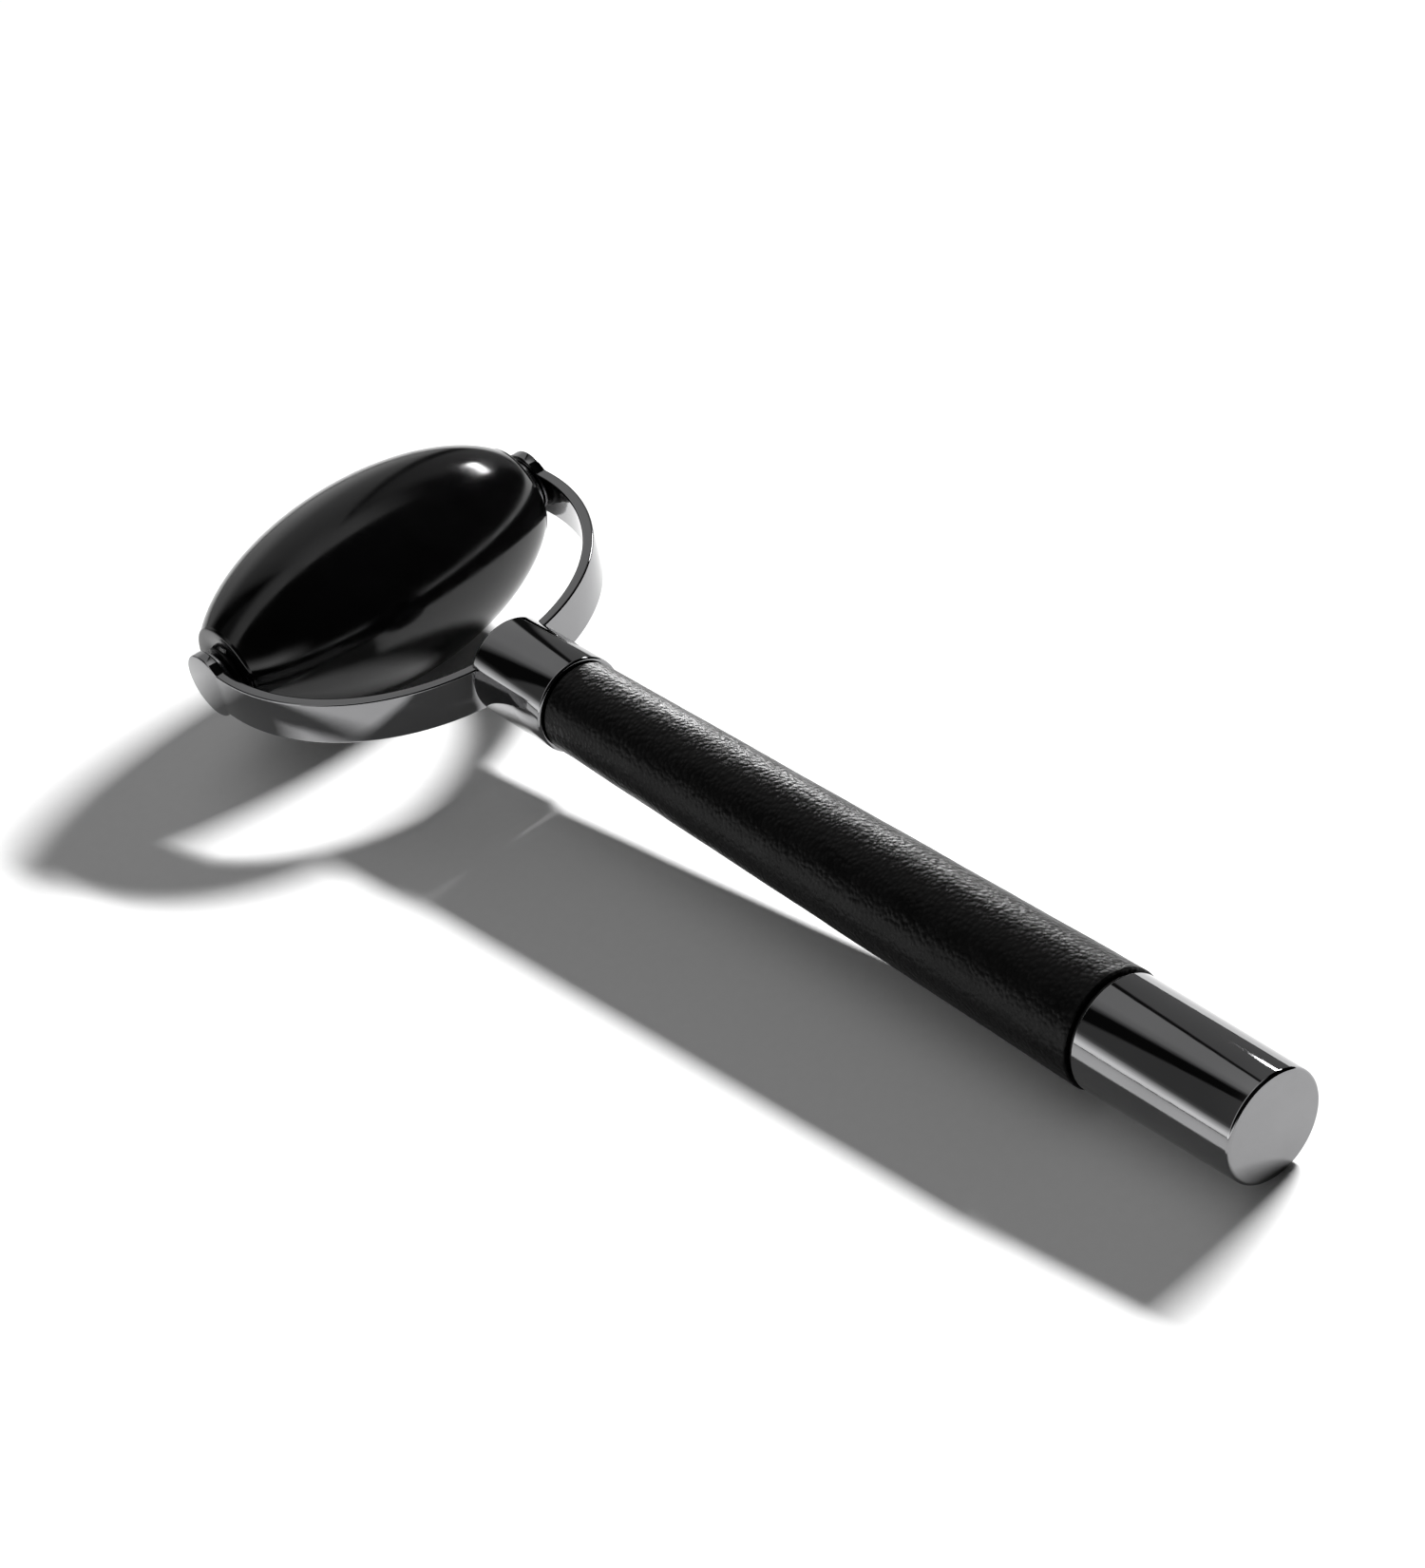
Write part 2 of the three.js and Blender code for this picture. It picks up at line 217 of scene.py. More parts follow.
def math_node(tree, operation, one, two):
    node = add_node(tree, "ShaderNodeMath", operation=operation)
    for socket, value in zip(node.inputs, (one, two)):
        if isinstance(value, float):
            socket.default_value = value
        else:
            tree.links.new(value, socket)
    return node.outputs["Value"]


def product(tree, one, two):
    return math_node(tree, "MULTIPLY", one, two)


# ---------------------------------------------------------------- materials
def stone_material():
    """Black volcanic glass: deep black, faint smoky clouds, glossy, with a fine hazy polish."""
    material, tree, shader = new_material("black_stone")
    vector = object_coords(tree)
    clouds = noise_texture(tree, vector, 90, detail=5, roughness=0.6)
    tint = ramp(tree, clouds, [(0.3, (0.0012, 0.0012, 0.0013)), (0.75, (0.0042, 0.0041, 0.0043))])
    tree.links.new(tint, shader.inputs["Base Color"])
    polish = noise_texture(tree, vector, 420, detail=4)
    gloss = ramp(tree, polish, [(0.35, 0.12), (0.7, 0.19)])
    tree.links.new(gloss, shader.inputs["Roughness"])
    shader.inputs["IOR"].default_value = 1.54
    ripple = noise_texture(tree, vector, 160, detail=2)
    tree.links.new(bump(tree, ripple, 0.12, 0.0002), shader.inputs["Normal"])
    return material


def chrome_material(name, tone):
    """Dark mirror plating with hair-fine polishing lines and a few handling smudges."""
    material, tree, shader = new_material(name)
    shader.inputs["Metallic"].default_value = 1.0
    vector = object_coords(tree)
    fog = noise_texture(tree, vector, 140, detail=3)
    tint = ramp(tree, fog, [(0.3, tuple(c * 0.94 for c in tone)), (0.7, tone)])
    tree.links.new(tint, shader.inputs["Base Color"])
    lines = noise_texture(tree, object_coords(tree, POLISH_STRETCH), 6, detail=2)
    smudge = noise_texture(tree, vector, 260, detail=5, roughness=0.65)
    wear = product(tree, lines, smudge)
    smooth, hazy = POLISH_ROUGHNESS
    tree.links.new(ramp(tree, wear, [(0.1, smooth), (0.5, hazy)]), shader.inputs["Roughness"])
    tree.links.new(bump(tree, lines, 0.03, 0.00004), shader.inputs["Normal"])
    return material


def leather_material():
    """Fine black calf: small pebbles with creases between them. The colour is painted lighter on the pebbles' tops
    as a painted sheen, and darker in the creases as painted shade.
    """
    material, tree, shader = new_material("grip_leather")
    vector = object_coords(tree)
    warp = noise_texture(tree, vector, 700, detail=2)
    pebbles = add_node(tree, "ShaderNodeTexVoronoi", feature="SMOOTH_F1")
    pebbles.inputs["Scale"].default_value = PEBBLES_PER_METRE
    pebbles.inputs["Smoothness"].default_value = 0.4
    pebbles.inputs["Randomness"].default_value = 1.0
    warped = add_node(tree, "ShaderNodeVectorMath", operation="MULTIPLY_ADD")
    warped.inputs[1].default_value = PEBBLE_WARP
    tree.links.new(warp, warped.inputs[0])
    tree.links.new(vector, warped.inputs[2])
    tree.links.new(warped.outputs[0], pebbles.inputs["Vector"])
    distance = pebbles.outputs["Distance"]
    fine = noise_texture(tree, vector, 3200, detail=4, roughness=0.6)
    broad = noise_texture(tree, vector, 240, detail=3)
    # Painted sheen and painted shade: the colour is lighter on each pebble's top and darker in the creases between
    # them.
    tint = ramp(tree, distance, [(0.1, (0.0042, 0.0041, 0.004)), (0.75, (0.0014, 0.0013, 0.0013))])
    tree.links.new(tint, shader.inputs["Base Color"])
    tree.links.new(ramp(tree, broad, [(0.3, 0.32), (0.75, 0.44)]), shader.inputs["Roughness"])
    shader.inputs["Specular IOR Level"].default_value = 0.2
    base = bump(tree, broad, 0.1, 0.0002)
    grain = bump(tree, ramp(tree, distance, [(0.05, 1.0), (0.9, 0.0)]), 0.7, 0.00008, base)
    tree.links.new(bump(tree, fine, 0.3, 0.00003, grain), shader.inputs["Normal"])
    return material


def nylon_material():
    """Dull black plastic, faintly speckled."""
    material, tree, shader = new_material("black_nylon")
    vector = object_coords(tree)
    speckle = noise_texture(tree, vector, 1800, detail=3)
    tree.links.new(ramp(tree, speckle, [(0.3, (0.006, 0.006, 0.006)), (0.7, (0.012, 0.012, 0.012))]),
                   shader.inputs["Base Color"])
    tree.links.new(ramp(tree, speckle, [(0.3, 0.32), (0.7, 0.5)]), shader.inputs["Roughness"])
    tree.links.new(bump(tree, speckle, 0.15, 0.00003), shader.inputs["Normal"])
    return material


def turned_metal(name, tone, rough):
    """Lathe-turned metal: fine rings across X, the handle's axis."""
    material, tree, shader = new_material(name)
    shader.inputs["Metallic"].default_value = 1.0
    rings = noise_texture(tree, object_coords(tree, TURNING_STRETCH), 1.5, detail=2)
    tree.links.new(ramp(tree, rings, [(0.3, tuple(c * 0.85 for c in tone)), (0.7, tone)]),
                   shader.inputs["Base Color"])
    tree.links.new(ramp(tree, rings, [(0.3, rough), (0.7, rough + 0.12)]),
                   shader.inputs["Roughness"])
    tree.links.new(bump(tree, rings, 0.2, 0.00003), shader.inputs["Normal"])
    return material


def floor_material():
    """A smooth pale paper sweep. Its colour is painted a little greyer far from the object, as painted shade for
    the light falling off there.
    """
    material, tree, shader = new_material("paper")
    vector = object_coords(tree)
    fibre = noise_texture(tree, vector, 900, detail=4)
    far = add_node(tree, "ShaderNodeVectorMath", operation="LENGTH")
    tree.links.new(vector, far.inputs[0])
    # Painted shade: the paper is painted greyer with distance from the object, standing in for light falling off
    # far away.
    painted_far_shade = ramp(tree, far.outputs["Value"], [(0.36, PAPER_WHITE), (0.85, 0.4)])
    mixed = add_node(tree, "ShaderNodeMixRGB", blend_type="MULTIPLY", Fac=1.0)
    tree.links.new(painted_far_shade, mixed.inputs["Color1"])
    tree.links.new(ramp(tree, fibre, [(0.3, 0.985), (0.7, 1.0)]), mixed.inputs["Color2"])
    tree.links.new(mixed.outputs["Color"], shader.inputs["Base Color"])
    shader.inputs["Roughness"].default_value = 0.85
    shader.inputs["Specular IOR Level"].default_value = 0.0
    return material


# ---------------------------------------------------------------- mesh helpers
def mesh_object(name, bm, material, smooth_angle=40):
    bmesh.ops.recalc_face_normals(bm, faces=bm.faces)
    mesh = bpy.data.meshes.new(name)
    bm.to_mesh(mesh)
    bm.free()
    mesh.materials.append(material)
    piece = bpy.data.objects.new(name, mesh)
    bpy.context.scene.collection.objects.link(piece)
    for polygon in mesh.polygons:
        polygon.use_smooth = True
    mesh.set_sharp_from_angle(angle=math.radians(smooth_angle))
    return piece


def place(piece, body, matrix, slot_name, *nodes):
    """Lays the piece in the row frame, fixes it to its body and hides the nodes it stands for."""
    piece.data.transform(matrix)
    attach(piece, body)
    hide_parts(*nodes)


def revolve(outline, axis="X", facets=FACETS):
    """A closed body of revolution from [along, radius] points. Points at radius 0 are on the axis."""
    bm = bmesh.new()
    rings = []
    for along, radius in outline:
        if radius <= 0:
            rings.append([bm.verts.new(oriented(along, 0, 0, axis))])
            continue
        ring = []
        for i in range(facets):
            a = 2 * math.pi * i / facets
            ring.append(bm.verts.new(oriented(along, radius * math.cos(a), radius * math.sin(a), axis)))
        rings.append(ring)
    open_ended = outline[0][1] > 0
    pairs = list(zip(rings, rings[1:]))
    if open_ended:
        pairs.append((rings[-1], rings[0]))
    for one, two in pairs:
        bridge(bm, one, two)
    return bm


def oriented(along, across, up, axis):
    """A point along X, or along Y for the pieces on the stone's axis."""
    if axis == "X":
        return Vector((along, across, up))
    return Vector((up, along, across))


def bridge(bm, one, two):
    """Faces between two rings, either of which may be a single point on the axis."""
    if len(one) == 1 and len(two) == 1:
        return
    n = max(len(one), len(two))
    for i in range(n):
        j = (i + 1) % n
        if len(one) == 1:
            bm.faces.new((one[0], two[j], two[i]))
        elif len(two) == 1:
            bm.faces.new((one[i], one[j], two[0]))
        else:
            bm.faces.new((one[i], one[j], two[j], two[i]))


def rounded(outline, radii, steps=5):
    """Rounds the named corners of an outline: radii maps a corner's index to its radius."""
    result = []
    count = len(outline)
    for i, corner in enumerate(outline):
        radius = radii.get(i)
        if not radius:
            result.append(tuple(corner))
            continue
        here = Vector(corner)
        before = (Vector(outline[i - 1]) - here).normalized()
        after = (Vector(outline[(i + 1) % count]) - here).normalized()
        half = before.angle(after) / 2
        reach = radius / math.tan(half)
        centre = here + (before + after).normalized() * (radius / math.sin(half))
        start = here + before * reach - centre
        end = here + after * reach - centre
        turn = start.angle(end)
        for k in range(steps + 1):
            t = k / steps
            blend = (start * math.sin((1 - t) * turn) + end * math.sin(t * turn)) / math.sin(turn)
            result.append(tuple(centre + blend))
    return result


# ---------------------------------------------------------------- the roller
def barrel(y):
    """The stone's radius at a distance from its middle."""
    return STONE_RADIUS * math.sqrt(1 - (y / STONE_OVAL) ** 2)


def stone_outline():
    """The oval barrel, its rounded ends and the chamfered mouths of its bore."""
    shoulder = STONE_HALF - STONE_EDGE
    dome = []
    for i in range(DOME_STEPS + 1):
        y = shoulder * math.sin(math.pi * (i / DOME_STEPS - 0.5))
        dome.append((y, barrel(y)))
    edge_radius = barrel(shoulder) - STONE_EDGE
    edge = []
    edge_start = 0.5  # radians from the radial direction, where the rounded edge begins
    for k in range(1, ROUND_STEPS + 1):
        a = edge_start + (math.pi / 2 - edge_start) * k / ROUND_STEPS
        edge.append((shoulder + STONE_EDGE * math.sin(a), edge_radius + STONE_EDGE * math.cos(a)))
    left = [(-y, r) for y, r in reversed(edge)]
    mouth = 0.25 * MM
    bore_left = [(-STONE_HALF + mouth, STONE_BORE), (-STONE_HALF, STONE_BORE + mouth)]
    bore_right = [(STONE_HALF, STONE_BORE + mouth), (STONE_HALF - mouth, STONE_BORE)]
    return bore_left + left + dome + edge + bore_right


def make_stone(material):
    piece = mesh_object("polished_stone", revolve(stone_outline(), "Y", STONE_FACETS), material, 60)
    place(piece, ROLLER, Matrix.Translation(HUB), "black_stone", "roller_stone")


def both_sides(outline):
    """The outline of a right-hand piece, and its mirror image for the left."""
    yield "left", [(-y, r) for y, r in reversed(outline)]
    yield "right", outline


def make_bushes(material):
    inner = PIN_TIP - 1 * MM
    outline = [
        (inner, BUSH_BORE), (inner, BUSH_SLEEVE), (FLANGE_IN, BUSH_SLEEVE),
        (FLANGE_IN, BUSH_FLANGE_RADIUS), (FLANGE_OUT, BUSH_FLANGE_RADIUS), (FLANGE_OUT, BUSH_BORE),
    ]
    outline = rounded(outline, {3: 0.08 * MM, 4: 0.15 * MM, 5: 0.1 * MM})
    for side, points in both_sides(outline):
        piece = mesh_object("bush_" + side, revolve(points, "Y", SMALL_FACETS), material)
        place(piece, ROLLER, Matrix.Translation(HUB), "nylon", "stone_bush_" + side)


def make_washers(material):
    bore = BUSH_BORE + 0.1 * MM
    outline = [
        (WASHER_IN, bore), (WASHER_IN, WASHER_RADIUS), (WASHER_OUT, WASHER_RADIUS), (WASHER_OUT, bore),
    ]
    outline = rounded(outline, {1: 0.06 * MM, 2: 0.06 * MM}, 3)
    for side, points in both_sides(outline):
        piece = mesh_object("washer_" + side, revolve(points, "Y", SMALL_FACETS), material)
        place(piece, HANDLE, LAY, "nylon", "thrust_washer_" + side)


def make_pins(material):
    outline = [
        (PIN_TIP, 0), (PIN_TIP, PIN_RADIUS), (BOSS_IN, PIN_RADIUS), (BOSS_IN, BOSS_RADIUS),
        (BOSS_OUT, BOSS_RADIUS), (BOSS_OUT, SPIGOT_RADIUS), (SPIGOT_END, SPIGOT_RADIUS),
        (SPIGOT_END, 0),
    ]
    outline = rounded(outline, {1: 0.3 * MM, 3: 0.12 * MM, 4: 0.08 * MM, 6: 0.1 * MM})
    for side, points in both_sides(outline):
        piece = mesh_object("pin_" + side, revolve(points, "Y", SMALL_FACETS), material)
        place(piece, HANDLE, LAY, "steel", "pivot_pin_" + side)


# ---------------------------------------------------------------- the yoke
def band_half_width(along):
    """Half width of the band at a distance from the eye's tip, measured along the band."""
    x = along - EYE_RADIUS  # 0 at the eye's centre
    neck = math.sqrt(EYE_RADIUS ** 2 - BAND_HALF_WIDTH ** 2)
    if x >= neck:
        return BAND_HALF_WIDTH
    return math.sqrt(max(EYE_RADIUS ** 2 - x * x, 0))


def yoke_stations():
    """Distances from tip to tip along the band, close together round the eyes."""
    neck = EYE_RADIUS + math.sqrt(EYE_RADIUS ** 2 - BAND_HALF_WIDTH ** 2)
    turn = math.acos(-(neck - EYE_RADIUS) / EYE_RADIUS)
    left = [EYE_RADIUS * (1 - math.cos(turn * k / EYE_STEPS)) for k in range(EYE_STEPS + 1)]
    for start, end, steps in (
        (neck, BAND_STRAIGHT, NECK_STEPS), (BAND_STRAIGHT, BAND_HALF, BEND_STEPS),
    ):
        left += [start + (end - start) * k / steps for k in range(1, steps + 1)]
    return left + [2 * BAND_HALF - s for s in reversed(left[:-1])]


def along_band(s, out):
    """Point at a distance s from the left eye's tip, raised by out from the band's mid-surface."""
    side = -1
    if s > BAND_HALF:
        s = 2 * BAND_HALF - s
        side = 1
    radius = BAND_MID + out
    if s <= BAND_STRAIGHT:
        return s - EYE_RADIUS, side * radius
    a = (s - BAND_STRAIGHT) / BAND_MID
    return BAND_ARC_X + radius * math.sin(a), side * radius * math.cos(a)


def outline_normals(stations, widths):
    """Outward directions of the band's outline, as (along, up) pairs."""
    normals = []
    last = len(stations) - 1
    for i in range(last + 1):
        if i == 0:
            normals.append((-1.0, 0.0))
            continue
        if i == last:
            normals.append((1.0, 0.0))
            continue
        run = stations[i + 1] - stations[i - 1]
        rise = widths[i + 1] - widths[i - 1]
        length = math.hypot(run, rise)
        normals.append((-rise / length, run / length))
    return normals


def band_section():
    """The rounded section of the band's edge, as (inset, out) points from face to face."""
    half_thick = BAND_MID - EYE_IN
    section = []
    for k in range(ROUND_STEPS + 1):
        a = math.pi / 2 * (1 - k / ROUND_STEPS)
        out = half_thick - BAND_EDGE * (1 - math.sin(a))
        section.append((BAND_EDGE * (1 - math.cos(a)), out))
    return section + [(inset, -out) for inset, out in reversed(section)]


def band_ring(bm, outline, inset, out):
    """The outline's upper and lower rows of vertices at one point of the section."""
    points = []
    for s, width, (along, up) in outline:
        x, y = along_band(s - inset * along, out)
        points.append((x, y, max(width - inset * up, 0)))
    top = [bm.verts.new((x, y, z)) for x, y, z in points]
    low = [bm.verts.new((x, y, -z)) for x, y, z in points[1:-1]]
    return top, [top[0], *low, top[-1]]


def make_yoke(material):
    stations = yoke_stations()
    widths = [band_half_width(min(s, 2 * BAND_HALF - s)) for s in stations]
    outline = list(zip(stations, widths, outline_normals(stations, widths)))
    bm = bmesh.new()
    rings = [band_ring(bm, outline, inset, out) for inset, out in band_section()]
    spans = range(len(stations) - 1)
    for (top_a, low_a), (top_b, low_b) in zip(rings, rings[1:]):
        for i in spans:
            bm.faces.new((top_a[i], top_a[i + 1], top_b[i + 1], top_b[i]))
            bm.faces.new((low_a[i], low_b[i], low_b[i + 1], low_a[i + 1]))
    for top, low in (rings[0], rings[-1]):
        for i in spans:
            corners = [top[i], top[i + 1], low[i + 1], low[i]]
            bm.faces.new(list(dict.fromkeys(corners)))  # a triangle at each tip
    piece = mesh_object("yoke_band", bm, material, 35)
    place(piece, HANDLE, LAY, "chrome", "yoke")


# ---------------------------------------------------------------- the collar and the handle
def make_collar(material):
    outline = [
        (COLLAR_FRONT, 0), (COLLAR_FRONT, COLLAR_RADIUS), (COLLAR_REAR, COLLAR_RADIUS),
        (COLLAR_REAR, STUD_BORE), (COLLAR_FRONT + COLLAR_NOSE, STUD_BORE),
        (COLLAR_FRONT + COLLAR_NOSE, 0),
    ]
    outline = rounded(outline, {1: COLLAR_FRONT_ROUND, 2: COLLAR_REAR_ROUND})
    piece = mesh_object("collar_body", revolve(outline), material)
    cut_slot(piece, material)
    place(piece, HANDLE, LAY, "chrome", "collar")


def cut_slot(piece, material):
    """Cuts the slot that the band is brazed into."""
    bm = bmesh.new()
    inner = EYE_IN - SLOT_GAP
    outer = EYE_OUT + SLOT_GAP
    height = BAND_HALF_WIDTH + SLOT_GAP
    reach = 0.45  # radians to either side, past the collar's flanks
    rows = []
    for i in range(SLOT_STEPS + 1):
        a = -reach + 2 * reach * i / SLOT_STEPS
        near = (BAND_ARC_X + inner * math.cos(a), inner * math.sin(a))
        far = (BAND_ARC_X + outer * math.cos(a), outer * math.sin(a))
        rows.append([
            bm.verts.new((near[0], near[1], -height)), bm.verts.new((far[0], far[1], -height)),
            bm.verts.new((far[0], far[1], height)), bm.verts.new((near[0], near[1], height)),
        ])
    for one, two in zip(rows, rows[1:]):
        for k in range(4):
            bm.faces.new((one[k], one[(k + 1) % 4], two[(k + 1) % 4], two[k]))
    bm.faces.new(rows[0])
    bm.faces.new(list(reversed(rows[-1])))
    cutter = mesh_object("slot_cutter", bm, material)
    modifier = piece.modifiers.new("slot", "BOOLEAN")
    modifier.operation = "DIFFERENCE"
    modifier.solver = "EXACT"
    modifier.object = cutter
    apply_modifiers(piece)
    bpy.data.objects.remove(cutter)
    keep_largest(piece)


def apply_modifiers(piece):
    bpy.context.view_layer.update()
    evaluated = piece.evaluated_get(bpy.context.evaluated_depsgraph_get())
    mesh = bpy.data.meshes.new_from_object(evaluated)
    piece.modifiers.clear()
    piece.data = mesh


def keep_largest(piece):
    """Drops loose slivers that a cut has left."""
    bm = bmesh.new()
    bm.from_mesh(piece.data)
    left = set(bm.verts)
    groups = []
    while left:
        stack = [left.pop()]
        group = [stack[0]]
        while stack:
            for e in stack.pop().link_edges:
                for v in e.verts:
                    if v in left:
                        left.remove(v)
                        stack.append(v)
                        group.append(v)
        groups.append(group)
    groups.sort(key=len, reverse=True)
    for group in groups[1:]:
        bmesh.ops.delete(bm, geom=group, context="VERTS")
    bm.to_mesh(piece.data)
    bm.free()


def grip_radius(x):
    """The leather's outer radius, which grows evenly towards the cap."""
    along = (x - GRIP_FRONT) / (GRIP_REAR - GRIP_FRONT)
    return GRIP_FRONT_RADIUS + (GRIP_REAR_RADIUS - GRIP_FRONT_RADIUS) * along


def turned_edge():
    """How far the leather's turned edge lies back and down from its corner, step by step."""
    turn = [math.pi / 2 * k / 5 for k in range(6)]
    return [(GRIP_ROLL * (1 - math.cos(a)), GRIP_ROLL * (1 - math.sin(a))) for a in turn]


def unevenness(at):
    """How far the leather stands in or out at a point: long waves and a finer ripple."""
    wave = noise.noise(Vector((at.x * 160, at.y * 420, at.z * 420)))
    fine = noise.noise(Vector((at.x * 700, at.y * 900, at.z * 900)))
    return (0.035 * wave + 0.012 * fine - 0.03) * MM


def make_grip(material):
    """The leather sleeve, with turned edges and the slight unevenness of a hand-pulled skin."""
    front = [(GRIP_FRONT + back, grip_radius(GRIP_FRONT) - down) for back, down in turned_edge()]
    rear = [(GRIP_REAR - back, grip_radius(GRIP_REAR) - down)
            for back, down in reversed(turned_edge())]
    start = GRIP_FRONT + GRIP_ROLL
    end = GRIP_REAR - GRIP_ROLL
    middle = [start + (end - start) * i / GRIP_STEPS for i in range(1, GRIP_STEPS)]
    outline = [(GRIP_FRONT, grip_radius(GRIP_FRONT) - LEATHER)]
    outline += front + [(x, grip_radius(x)) for x in middle] + rear
    outline.append((GRIP_REAR, grip_radius(GRIP_REAR) - LEATHER))
    bm = revolve(outline)
    for v in bm.verts:
        radius = math.hypot(v.co.y, v.co.z)
        if radius < grip_radius(v.co.x) - 0.5 * LEATHER:
            continue
        stretch = 1 + unevenness(v.co) / radius
        v.co.y *= stretch
        v.co.z *= stretch
    piece = mesh_object("leather_grip", bm, material, 60)
    place(piece, HANDLE, LAY, "leather", "grip_sleeve")


def make_spacer(material):
    radius = CAP_FRONT_RADIUS - GROOVE_DEPTH
    outline = [
        (SPACER_FRONT, STUD_BORE), (SPACER_FRONT, radius), (SPACER_REAR, radius),
        (SPACER_REAR, STUD_BORE),
    ]
    outline = rounded(outline, {1: 0.1 * MM, 2: 0.1 * MM}, 3)
    piece = mesh_object("groove_ring", revolve(outline), material)
    place(piece, HANDLE, LAY, "nylon", "spacer_ring")


def make_cap(material):
    inner_end = CAP_REAR - CAP_DISC
    inner = CAP_REAR_RADIUS - CAP_WALL
    outline = [
        (inner_end, 0), (inner_end, inner), (CAP_FRONT, CAP_FRONT_RADIUS - CAP_WALL),
        (CAP_FRONT, CAP_FRONT_RADIUS), (CAP_REAR, CAP_REAR_RADIUS), (CAP_REAR, 0),
    ]
    outline = rounded(outline, {3: CAP_LIP, 4: CAP_ROUND}, 8)
    piece = mesh_object("cap_shell", revolve(outline), material)
    place(piece, HANDLE, LAY, "chrome", "end_cap")


def finish_inner_nodes(steel, brass, aluminium):
    """The inner CAD pieces keep their shape and get their metal."""
    for metal, names in (
        (steel, ("neck_stud", "cap_stud")),
        (brass, ("front_plug", "rear_plug", "cap_insert")),
        (aluminium, ("core_tube",)),
    ):
        for name in names:
            node = frame["nodes"][name]
            node.data.materials.clear()
            node.data.materials.append(metal)


# ---------------------------------------------------------------- the stage
def make_floor(material):
    bm = bmesh.new()
    for x, y in ((-1, -1), (1, -1), (1, 1), (-1, 1)):
        bm.verts.new((FLOOR_REACH * x, FLOOR_REACH * y, 0))
    bm.faces.new(bm.verts)
    piece = mesh_object("floor", bm, material)
    piece.location.z = -FLOOR_DROP


def even_falloff(data):
    """Makes the lamp as strong far away as close by, as a large distant studio lamp would be."""
    data.use_nodes = True
    tree = data.node_tree
    falloff = add_node(tree, "ShaderNodeLightFalloff", Strength=1.0)
    tree.links.new(falloff.outputs["Constant"], tree.nodes["Emission"].inputs["Strength"])


def soft_panel(name, location, size, power):
    """An area lamp that faces the object and that the camera doesn't see."""
    data = bpy.data.lights.new(name, "AREA")
    data.shape = "RECTANGLE"
    data.size, data.size_y = size
    data.energy = power
    light = bpy.data.objects.new(name, data)
    light.location = location
    towards = LAMP_AIM - Vector(location)
    light.rotation_euler = towards.to_track_quat("-Z", "Y").to_euler()
    light.visible_camera = False
    bpy.context.scene.collection.objects.link(light)
    return light


def make_lights():
    """The key lamp on the +Y side throws the shadow and isn't seen in reflections.

    The two panels are seen only in reflections, the second one only in the leather's.
    """
    key = soft_panel("key", KEY_PLACE, KEY_SIZE, 20)
    even_falloff(key.data)
    key.visible_glossy = False
    window = soft_panel("window", WINDOW_PLACE, WINDOW_SIZE, 3.4)
    window.visible_diffuse = False
    sheen = soft_panel("sheen", SHEEN_PLACE, SHEEN_SIZE, 3.2)
    sheen.visible_diffuse = False
    lit = bpy.data.collections.new("sheen_on")
    lit.objects.link(bpy.data.objects["leather_grip"])
    sheen.light_linking.receiver_collection = lit


def far_wall(tree, x, y):
    """The studio's brightness on its -X side, where x and y are a direction's components."""
    ceiling = ramp(tree, span(tree, x, -1.0, 1.0), [
        (0.0, 0.6), (0.03, 1.0), (0.06, 0.9), (0.1, 0.6), (0.27, 0.58), (0.33, 0.75),
        (0.46, 1.1), (0.487, 1.15), (0.495, 0.02), (1.0, 0.015),
    ])
    across = math_node(tree, "DIVIDE", y, product(tree, x, -1.0))
    bays = ramp(tree, span(tree, across, -2.0, 2.0), [
        (0.0, 0.3), (0.262, 0.3), (0.28, 0.03), (0.375, 0.03), (0.43, 0.8), (0.5, 1.0),
        (0.683, 1.0), (0.692, 0.05), (0.715, 0.05), (0.73, 0.5), (0.85, 0.55),
    ])
    overhead = span(tree, x, -0.42, -0.25)
    shade = product(tree, overhead, span(tree, y, 0.3, 0.6))
    lit = math_node(tree, "SUBTRACT", 1.0, shade)
    return product(tree, product(tree, ceiling, math_node(tree, "MAXIMUM", bays, overhead)), lit)


def low_strip(tree, y, z):
    """A pale strip low along the -Y side."""
    low = ramp(tree, span(tree, z, -0.02, 0.35), [(0.0, 0.9), (0.25, 1.0), (0.8, 0.05), (1.0, 0.0)])
    side = span(tree, y, -0.35, -0.62)
    return product(tree, product(tree, low, side), 2.1)


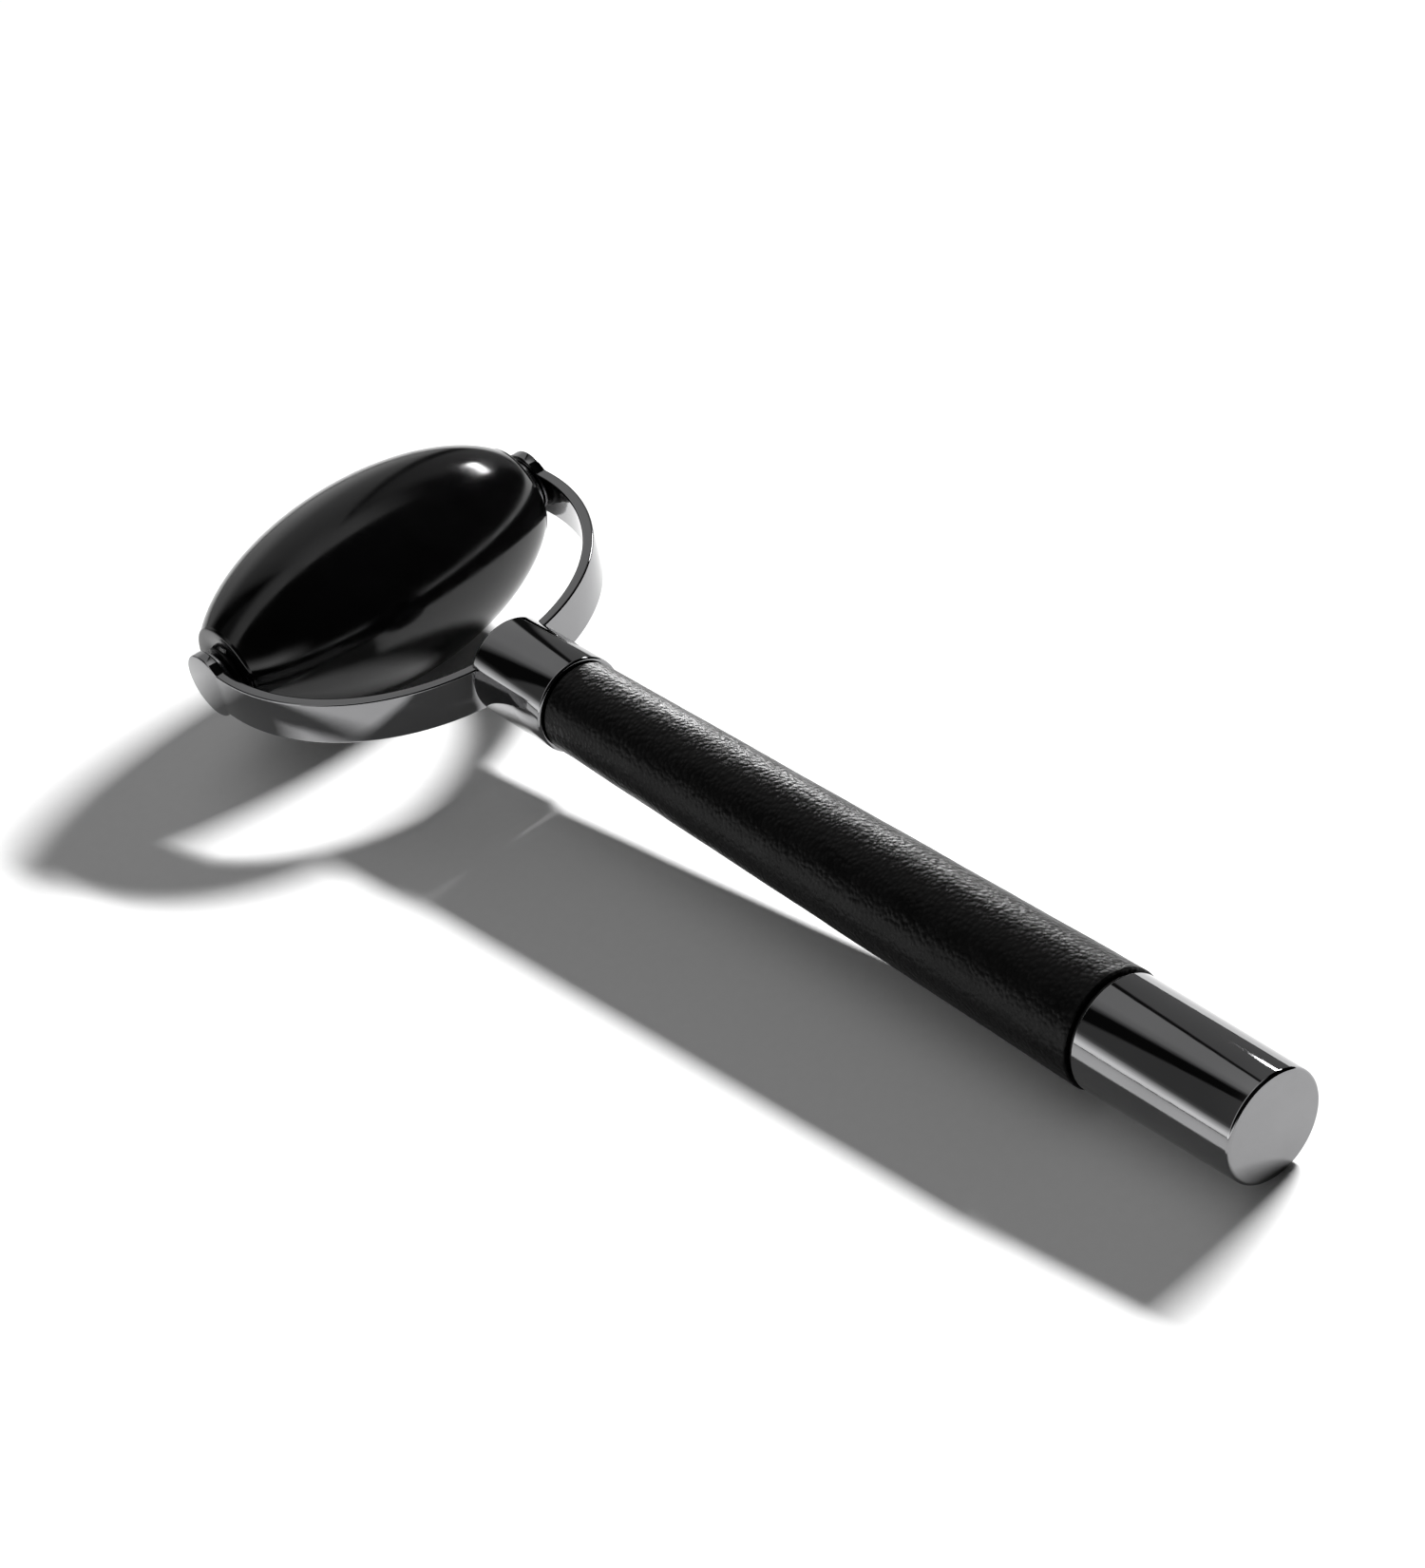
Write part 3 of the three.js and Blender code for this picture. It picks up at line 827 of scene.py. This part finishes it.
def make_world():
    """A dim studio: nearly black on the +X side, and a grey ceiling and wall on the -X side.

    Dark bays cross the wall, and the ceiling is dark towards +Y.
    """
    world = bpy.data.worlds.new("studio")
    bpy.context.scene.world = world
    world.use_nodes = True
    tree = world.node_tree
    background = tree.nodes["Background"]
    coords = tree.nodes.new("ShaderNodeTexCoord")
    split = tree.nodes.new("ShaderNodeSeparateXYZ")
    tree.links.new(coords.outputs["Generated"], split.inputs["Vector"])
    x, y, z = (split.outputs[axis] for axis in "XYZ")
    light = math_node(tree, "ADD", far_wall(tree, x, y), low_strip(tree, y, z))
    tree.links.new(light, background.inputs["Color"])
    background.inputs["Strength"].default_value = 0.75


def make_camera():
    """A short telephoto 0.23 m above the floor, looking back along the handle."""
    data = bpy.data.cameras.new("camera")
    data.sensor_width = 36
    data.lens = 87.3
    data.clip_start = 0.01
    camera = bpy.data.objects.new("camera", data)
    azimuth = math.radians(150.06)
    elevation = math.radians(35.76)
    roll = math.radians(-16.07)
    distance = 0.3768
    aim = Vector((-0.00456, 0.00084, 0.008))
    forward = Vector((math.cos(azimuth) * math.cos(elevation),
                      math.sin(azimuth) * math.cos(elevation), -math.sin(elevation)))
    camera.location = aim - forward * distance
    turn = forward.to_track_quat("-Z", "Y").to_matrix().to_4x4()
    camera.matrix_world = (
        Matrix.Translation(camera.location) @ turn @ Matrix.Rotation(roll, 4, "Z")
    )
    bpy.context.scene.collection.objects.link(camera)
    bpy.context.scene.camera = camera


# ---------------------------------------------------------------- build
make_camera()
stone = stone_material()
chrome = chrome_material("chrome", (0.27, 0.27, 0.274))
leather = leather_material()
nylon = nylon_material()
steel = turned_metal("steel", (0.55, 0.55, 0.56), 0.22)
brass = turned_metal("brass", (0.66, 0.5, 0.27), 0.25)
aluminium = turned_metal("aluminium", (0.72, 0.72, 0.73), 0.3)

make_stone(stone)
make_bushes(nylon)
make_washers(nylon)
make_pins(steel)
make_yoke(chrome)
make_collar(chrome)
make_grip(leather)
make_spacer(nylon)
make_cap(chrome)
finish_inner_nodes(steel, brass, aluminium)
make_floor(floor_material())
make_lights()
make_world()

view = bpy.context.scene.view_settings
view.view_transform = "Standard"
view.look = "Medium High Contrast"
bpy.context.view_layer.update()
